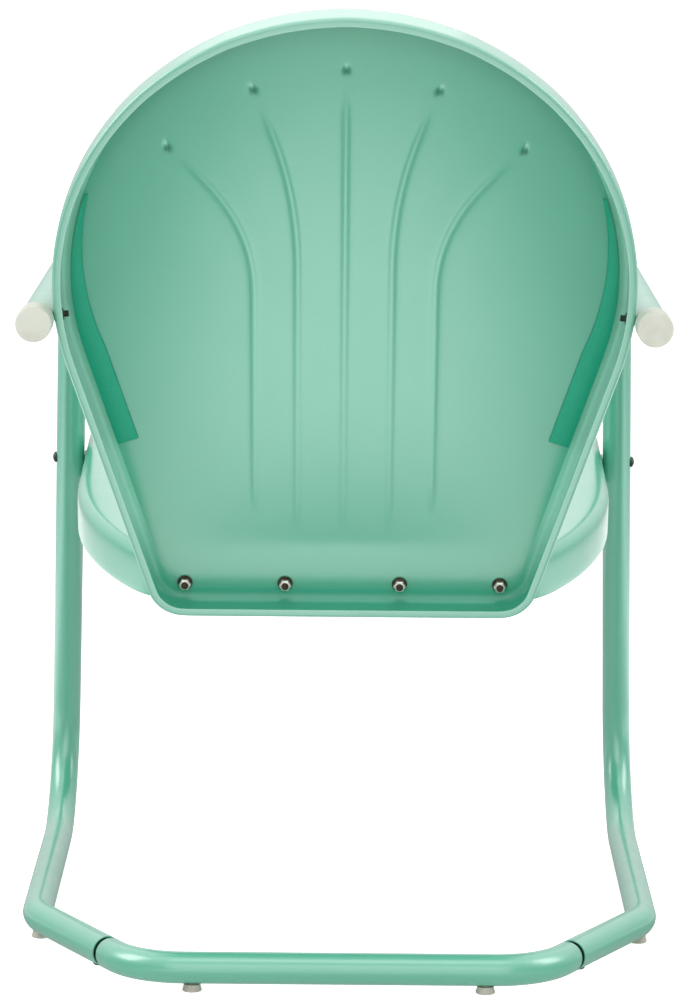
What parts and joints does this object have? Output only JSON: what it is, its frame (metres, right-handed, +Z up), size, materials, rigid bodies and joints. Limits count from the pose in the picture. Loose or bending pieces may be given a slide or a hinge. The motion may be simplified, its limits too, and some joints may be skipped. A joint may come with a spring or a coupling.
{
  "type": "metal spring lawn chair",
  "caption": "Lawn chair with a pressed, fluted shell back and a dished metal seat, hung between two springy bent-tube sides.",
  "frame": {"origin": "on the floor, below the middle of the chair's bounding box", "axes": "+Z up, the sitter faces -Y, +X to the sitter's left"},
  "size_m": [0.5998, 0.6384, 0.85],
  "materials": {
    "body_paint": "satin gloss aqua powder coat",
    "arm_cap": "moulded, off-white",
    "glide": "moulded, milky grey-white",
    "zinc_steel": "bright zinc plate",
    "dark_steel": "dark plated"
  },
  "bodies": {
    "base": {"left_corner_glide": "glide", "left_front_glide": "glide", "left_joint_screw": "dark_steel", "left_rear_glide": "glide", "left_runner_tube": "body_paint", "left_spring_bend": "body_paint", "rear_cross_tube": "body_paint", "right_corner_glide": "glide", "right_front_glide": "glide", "right_joint_screw": "dark_steel", "right_rear_glide": "glide", "right_runner_tube": "body_paint", "right_spring_bend": "body_paint"},
    "upper": {"back_shell": "body_paint", "left_arm_bolt": "dark_steel", "left_arm_cap": "arm_cap", "left_arm_leg_tube": "body_paint", "left_arm_nut": "dark_steel", "left_arm_spacer": "body_paint", "left_back_stiffener": "body_paint", "left_leg_bolt": "dark_steel", "left_leg_nut": "dark_steel", "left_leg_spacer": "body_paint", "right_arm_bolt": "dark_steel", "right_arm_cap": "arm_cap", "right_arm_leg_tube": "body_paint", "right_arm_nut": "dark_steel", "right_arm_spacer": "body_paint", "right_back_stiffener": "body_paint", "right_leg_bolt": "dark_steel", "right_leg_nut": "dark_steel", "right_leg_spacer": "body_paint", "seat_bolt_1": "zinc_steel", "seat_bolt_2": "zinc_steel", "seat_bolt_3": "zinc_steel", "seat_bolt_4": "zinc_steel", "seat_nut_1": "zinc_steel", "seat_nut_2": "zinc_steel", "seat_nut_3": "zinc_steel", "seat_nut_4": "zinc_steel", "seat_pan": "body_paint", "seat_washer_1": "zinc_steel", "seat_washer_2": "zinc_steel", "seat_washer_3": "zinc_steel", "seat_washer_4": "zinc_steel"}
  },
  "joints": [
    {"name": "seat_spring", "type": "hinge", "parent": "base", "child": "upper", "pos_m": [0, -0.2745, 0.068], "axis": [-1, 0, 0], "range_deg": [-1.5, 4], "stiffness_Nm_per_rad": 4600, "springref_deg": -0.27, "deforming": ["left_spring_bend", "right_spring_bend"]}
  ]
}
